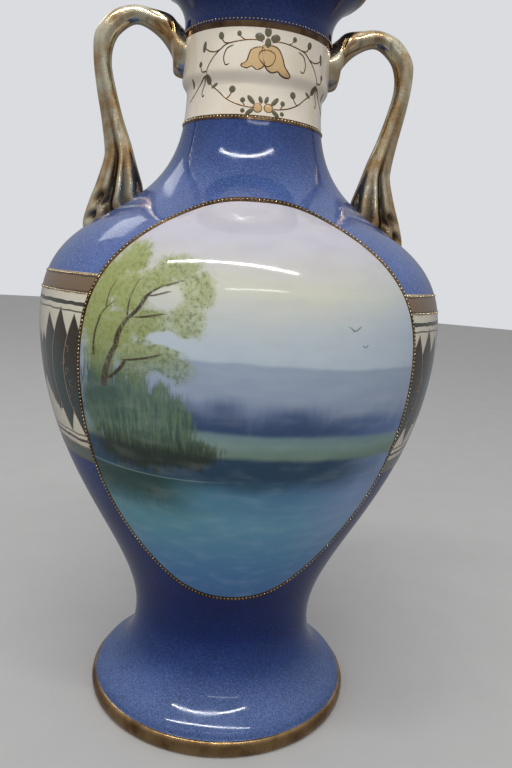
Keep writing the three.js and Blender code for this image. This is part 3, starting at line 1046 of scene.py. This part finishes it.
def makeLeafGroup():
    # how far inside a pointed leaf a place lies, in millimetres
    names = ("Across", "Height", "Tip", "Tip Height", "Root", "Root Height", "Width")
    group, (across, height, tip, tipHeight, root, rootHeight, width), result = newGroup(
        "pointedLeaf", names, ("Inside",))
    runX, runZ = tip - root, tipHeight - rootHeight
    length = calc("SQRT", runX * runX + runZ * runZ)
    alongX, alongZ = runX / length, runZ / length
    x, z = across - root, height - rootHeight
    share = (x * alongX + z * alongZ) / length
    away = calc("ABSOLUTE", x * alongZ - z * alongX)
    belly = share * (1.0 - share) * 4.0
    half = calc("POWER", calc("MAXIMUM", belly, 0.0), 1.2) * width
    beyond = calc("LESS_THAN", belly, 0.01) * 9.0
    setInput(result["Inside"], half - beyond - away)
    return group


leafGroup = makeLeafGroup()


def makePanelPainting():
    panel = sidePanel
    material, tree, shader = newTree("panelPainting")
    across, height = attribute(tree, "across"), attribute(tree, "height")
    place = joined(across, height)
    wobble = (noise(place, 0.12) - 0.5) * 1.6
    colour = heightRamp(height + wobble, panel["stripes"], "CONSTANT")
    # distance from the middle of the nearest fan, both sides alike
    first, second, third = [calc("ABSOLUTE", across - centre * degree) for centre in panel["fans"]]
    side = calc("MINIMUM", calc("MINIMUM", first, second), third) + wobble * 0.4
    cool = side * 0.8 + (176.0 - height)
    tone = mixed(ease(cool, 0, 26), panel["brown"], panel["teal"])
    tone = mixed(ease(noise(place, 0.5, 4), 0.35, 0.7, 0.0, 0.4), tone, panel["mottle"])
    spread = 4.0
    for x, z, size in panel["lobes"]:
        inside = useGroup(tree, clumpGroup, side, height, x - spread, z, size + spread, size)[0]
        shaded = mixed(ease(inside, 0.5, 0.0), tone, panel["lobeShade"])
        colour = mixed(ease(inside, -0.02, 0.02), colour, shaded)
    rim = mixed(0.35, tone, panel["leafShade"])
    for x, z, rootX, rootZ, width in panel["leaves"]:
        inside = useGroup(tree, leafGroup, side, height, x, z, rootX, rootZ, width)[0]
        colour = mixed(ease(inside, -0.35, -0.15), colour, panel["edge"])
        colour = mixed(ease(inside, 0.05, 0.25), colour, mixed(ease(inside, 0.2, 3.0), rim, tone))
    setInput(shader.inputs["Base Color"], colour)
    glazed(tree, shader, panel["coat"], panel["coatRoughness"])
    return material


def panelReach(heights):
    # half the width of a side panel in degrees, up to the borders of the medallions
    above = heights - medallion["middle"]
    rise, power = medallionHalf(above)
    return 90 - medallion["halfWidth"] * (1 - np.abs(above / rise) ** power) ** (1 / power)


def panelField(centre):
    heights = np.linspace(sidePanel["low"], sidePanel["high"], sidePanel["rows"])
    share = np.linspace(-1, 1, sidePanel["columns"])
    degrees = centre + share[None, :] * panelReach(heights)[:, None]
    places, out = onBody(degrees, heights[:, None] + 0 * degrees, sidePanel["proud"])
    return closedSkin(places, out, 0.5, False)


panelPainting = makePanelPainting()
for name, centre in (("sidePanelRight", 90), ("sidePanelLeft", -90)):
    field = makePiece(name, [panelField(centre)], [panelPainting])
    addPlaces(field, centre)


def panelCurl(fan, mirror, across, height, start):
    steps = sidePanel["curlSteps"]
    angle = np.radians(start + np.linspace(0, sidePanel["curlSweep"], steps))
    size = sidePanel["curlSize"] * np.linspace(1, sidePanel["curlEnd"], steps)
    x = across + size * np.cos(angle)
    return np.stack([fan + mirror * x / degree, height + size * np.sin(angle)], 1)


def makePanelTrim():
    # beads along the upper band, and small raised curls in the hearts of the leaves
    curls, rows = [], []
    for side in (90, -90):
        for fan, (across, height, start), mirror in product(sidePanel["fans"], sidePanel["curls"], (-1, 1)):
            if panelReach(height) > abs(fan) + (across + 2) / degree or mirror * fan < 0:
                curls.append(brushLine(panelCurl(fan, mirror, across, height, start), side))
        for height in sidePanel["beadRows"]:
            reach = panelReach(height)
            degrees = np.linspace(side - reach, side + reach, 120)
            rows.append(onBody(degrees, height, sidePanel["beadProud"])[0])
    makePiece("panelCurls", curls, [curlGold], 60)
    makeBeads("panelBeads", rows, medallion["beadPitch"], medallion["beadSize"], False)


makePanelTrim()
print("side panels painted")


# Swan-neck handles. Each row holds the outer edge and the inner edge as shares of the reach and the rise,
# and then half the depth as a share of the rod's thickness.
handleForm = {
    "reach": 42, "archClearance": 11.4, "shoulderSeatRise": 51, "neckSeatRise": 8.5, "rodThickness": 9,
    # fullFold is the sunken depth at which the painted shade of the handle gilding is full
    "stations": 260, "sides": 96, "sunk": 2.2, "fullFold": 0.3,
    # shade on the inner side: its strength, and where it starts and over how many degrees it grows
    "innerShade": 0.15, "innerStart": 100, "innerSpan": 70,
    "rows": [
        (-0.11, 0.88, -0.23, 0.66, 1.07), (0.03, 0.93, -0.07, 0.68, 1.04), (0.14, 0.97, 0.01, 0.77, 0.82),
        (0.31, 0.99, 0.2, 0.86, 0.58), (0.53, 1, 0.44, 0.91, 0.5), (0.73, 0.96, 0.58, 0.86, 0.49),
        (0.84, 0.86, 0.62, 0.79, 0.48), (0.8, 0.74, 0.59, 0.7, 0.48), (0.68, 0.58, 0.49, 0.59, 0.48),
        (0.54, 0.42, 0.33, 0.44, 0.51), (0.43, 0.28, 0.17, 0.31, 0.6), (0.4, 0.21, 0.08, 0.23, 0.71),
        (0.41, 0.08, 0, 0.16, 0.91), (0.43, -0.02, -0.07, 0.1, 1.09), (0.43, -0.13, -0.11, 0.06, 1.18),
        (0.35, -0.22, -0.18, 0.02, 1.16),
    ],
    # grooves: degrees round the section from its outer edge, half width, cut, where they start, where full
    "grooves": [(84, 11, 0.3, 0.5, 0.82), (118, 13, 0.2, 0.6, 0.88), (48, 10, 0.1, 0.56, 0.8),
                (150, 12, 0.12, 0.7, 0.92), (72, 20, 0.08, 0.25, 0.5)],
    # dents: degrees round the section, half width, cut, place along the handle, half length
    "dents": [(52, 15, 0.22, 0.87, 0.022), (40, 12, 0.2, 0.93, 0.014), (70, 9, 0.14, 0.905, 0.02),
              (70, 14, 0.1, 0.12, 0.02), (95, 10, 0.08, 0.165, 0.02), (60, 12, 0.06, 0.2, 0.025),
              (88, 10, 0.05, 0.34, 0.02)],
}


def handlePoints(side):
    form = handleForm
    neckSeat = collarHeight + form["neckSeatRise"]
    shoulderSeat = bellyHeight + form["shoulderSeatRise"]
    archTop = lipHeight - form["archClearance"]
    rows = splineThrough(form["rows"], form["stations"])

    def edge(out, up):
        seatLine = radiusAt(shoulderSeat) + (radiusAt(neckSeat) - radiusAt(shoulderSeat)) * up
        return np.stack([seatLine + out * form["reach"], shoulderSeat + (archTop - shoulderSeat) * up], 1)

    outerEdge, innerEdge = edge(rows[:, 0], rows[:, 1]), edge(rows[:, 2], rows[:, 3])
    middle, half = (outerEdge + innerEdge) / 2, (outerEdge - innerEdge) / 2
    depth = rows[:, 4] * form["rodThickness"]
    share = np.linspace(0, 1, form["stations"])[:, None]
    angle = np.linspace(0, 2 * math.pi, form["sides"], endpoint=False)[None, :]
    fold = np.degrees(np.minimum(angle, 2 * math.pi - angle))
    sunkenAndShade = np.zeros((form["stations"], form["sides"]))
    for place, width, cut, start, full in form["grooves"]:
        strength = np.clip((share - start) / (full - start), 0, 1)
        sunkenAndShade += cut * strength ** 2 * (3 - 2 * strength) * np.exp(-((fold - place) / width) ** 2)
    for place, width, cut, level, length in form["dents"]:
        sunkenAndShade += cut * np.exp(-((fold - place) / width) ** 2 - ((share - level) / length) ** 2)
    size = 1 - sunkenAndShade
    # painted shade on the inner side of the rod, added after the grooves and dents have shaped it, so it only
    # darkens the gilding through the fold attribute
    inner = np.clip((fold - form["innerStart"]) / form["innerSpan"], 0, 1)
    sunkenAndShade += form["innerShade"] * inner ** 2
    along, aside = np.cos(angle) * size, np.sin(angle) * size * depth[:, None]
    radius = middle[:, :1] + half[:, :1] * along
    height = middle[:, 1:] + half[:, 1:] * along
    return radius * side, aside * side, height, sunkenAndShade


def keepInWall(x, y, z):
    # the ends stay within the wall of the vase, so that nothing of them shows in the hollow
    radius = np.hypot(x, y)
    core = inward(outside, handleForm["sunk"])
    core = core[np.argsort(core[:, 1])]
    deep = np.interp(z, core[:, 1], core[:, 0])
    pushed = np.where(radius < deep, deep / np.maximum(radius, 1e-6), 1)
    return x * pushed, y * pushed, z


def makeHandle(name, side):
    x, y, z, sunkenAndShade = handlePoints(side)
    x, y, z = keepInWall(x, y, z)
    points = (np.stack([x, y, z], -1) * mm).reshape(-1, 3)
    rows, columns = x.shape
    faces = gridFaces(rows, columns, True)
    faces.append(tuple(range(columns - 1, -1, -1)))
    faces.append(tuple((rows - 1) * columns + c for c in range(columns)))
    piece = makePiece(name, [(points, faces)], [handleGold], 60)
    # the fold attribute is painted shade: full where the grooves and dents sink by fullFold, and on the inner
    # side of the rod
    paintedFoldShade = piece.data.attributes.new("fold", "FLOAT", "POINT")
    paintedFoldShade.data.foreach_set("value", np.clip(sunkenAndShade / handleForm["fullFold"], 0, 1).ravel().astype(np.float32))


makeHandle("handleRight", 1)
makeHandle("handleLeft", -1)
print("handles shaped")


# Floor, light and camera
studio = {
    "floor": (204, 202, 198), "floorShade": (196, 194, 190), "floorRadius": 3.0, "aimHeight": 0.18,
    "backdrop": (218, 220, 224),
    "room": [(0.0, (0.20, 0.20, 0.21, 1)), (0.2, (0.24, 0.24, 0.25, 1)), (0.45, (0.34, 0.35, 0.38, 1)),
             (1.0, (0.56, 0.57, 0.6, 1))],
    "tube": {"place": (-0.12, -0.5, 1.25), "size": (1.25, 0.05), "watts": 6},
    "window": {"place": (-0.6, 0.75, 1.0), "size": (0.36, 0.24), "watts": 0.5},
    "fill": {"place": (-0.5, -1.5, 0.8), "size": (1.4, 1.4), "watts": 5.5},
    "frontTube": {"place": (0.08, -1.05, 0.95), "size": (0.7, 0.03), "watts": 0.45},
}


def makeFloor():
    mesh = bpy.data.meshes.new("floor")
    corners = 64
    radius = studio["floorRadius"]
    angles = np.linspace(0, 2 * math.pi, corners, endpoint=False)
    rim = [(radius * math.cos(angle), radius * math.sin(angle), 0) for angle in angles]
    mesh.from_pydata(rim, [], [tuple(range(corners))])
    floor = bpy.data.objects.new("floor", mesh)
    scene.collection.objects.link(floor)
    material, tree, shader = newTree("floorPaper")
    grain = noise(objectPlace(tree), 30, 3)
    setInput(shader.inputs["Base Color"], mixed(grain, studio["floor"], studio["floorShade"]))
    shader.inputs["Roughness"].default_value = 0.85
    mesh.materials.append(material)
    floor.visible_glossy = False


def makeLight(name, settings):
    light = bpy.data.lights.new(name, "AREA")
    light.shape = "RECTANGLE"
    light.size, light.size_y = settings["size"]
    light.energy = settings["watts"]
    holder = bpy.data.objects.new(name, light)
    holder.location = settings["place"]
    aim = Vector((0, 0, studio["aimHeight"])) - holder.location
    holder.rotation_euler = aim.to_track_quat("-Z", "Y").to_euler()
    scene.collection.objects.link(holder)
    return holder


def makeRoom():
    world = bpy.data.worlds.new("studioRoom")
    world.use_nodes = True
    scene.world = world
    tree = world.node_tree
    background = tree.nodes["Background"]
    direction = tree.nodes.new("ShaderNodeSeparateXYZ")
    tree.links.new(tree.nodes.new("ShaderNodeTexCoord").outputs["Generated"], direction.inputs[0])
    room = ramp(ease(Wire(tree, direction.outputs["Z"]), -0.3, 1.0), studio["room"])
    seen = Wire(tree, tree.nodes.new("ShaderNodeLightPath").outputs["Is Camera Ray"])
    setInput(background.inputs["Color"], mixed(seen, room, studio["backdrop"]))


# Place of the camera in millimetres, its turns in degrees
photoView = {
    "lens": 31.42, "distance": 320, "height": 210.3, "side": -4.3, "pitch": 10.0, "roll": 3.99, "yaw": 1.72,
}


def makeCamera():
    pitch, roll, yaw, side = (math.radians(photoView[name]) for name in ("pitch", "roll", "yaw", "side"))
    forward = Vector((math.sin(yaw) * math.cos(pitch), math.cos(yaw) * math.cos(pitch), -math.sin(pitch)))
    right = Vector((math.cos(yaw), -math.sin(yaw), 0))
    up = right.cross(forward)
    rolledRight = math.cos(roll) * right + math.sin(roll) * up
    rolledUp = math.cos(roll) * up - math.sin(roll) * right
    axes = Matrix((rolledRight, rolledUp, -forward)).transposed().to_4x4()
    turned = Matrix.Rotation(side, 4, "Z")
    place = Vector((0, -photoView["distance"] * mm, photoView["height"] * mm))
    data = bpy.data.cameras.new("photoCamera")
    data.lens = photoView["lens"]
    data.clip_start = 0.01
    camera = bpy.data.objects.new("photoCamera", data)
    camera.matrix_world = turned @ Matrix.Translation(place) @ axes
    scene.collection.objects.link(camera)
    scene.camera = camera


makeFloor()
for name in ("tube", "window", "frontTube", "fill"):
    light = makeLight(name, studio[name])
    light.visible_glossy = name != "fill"
makeRoom()
makeCamera()
scene.view_settings.view_transform = "Standard"
print("studio set")
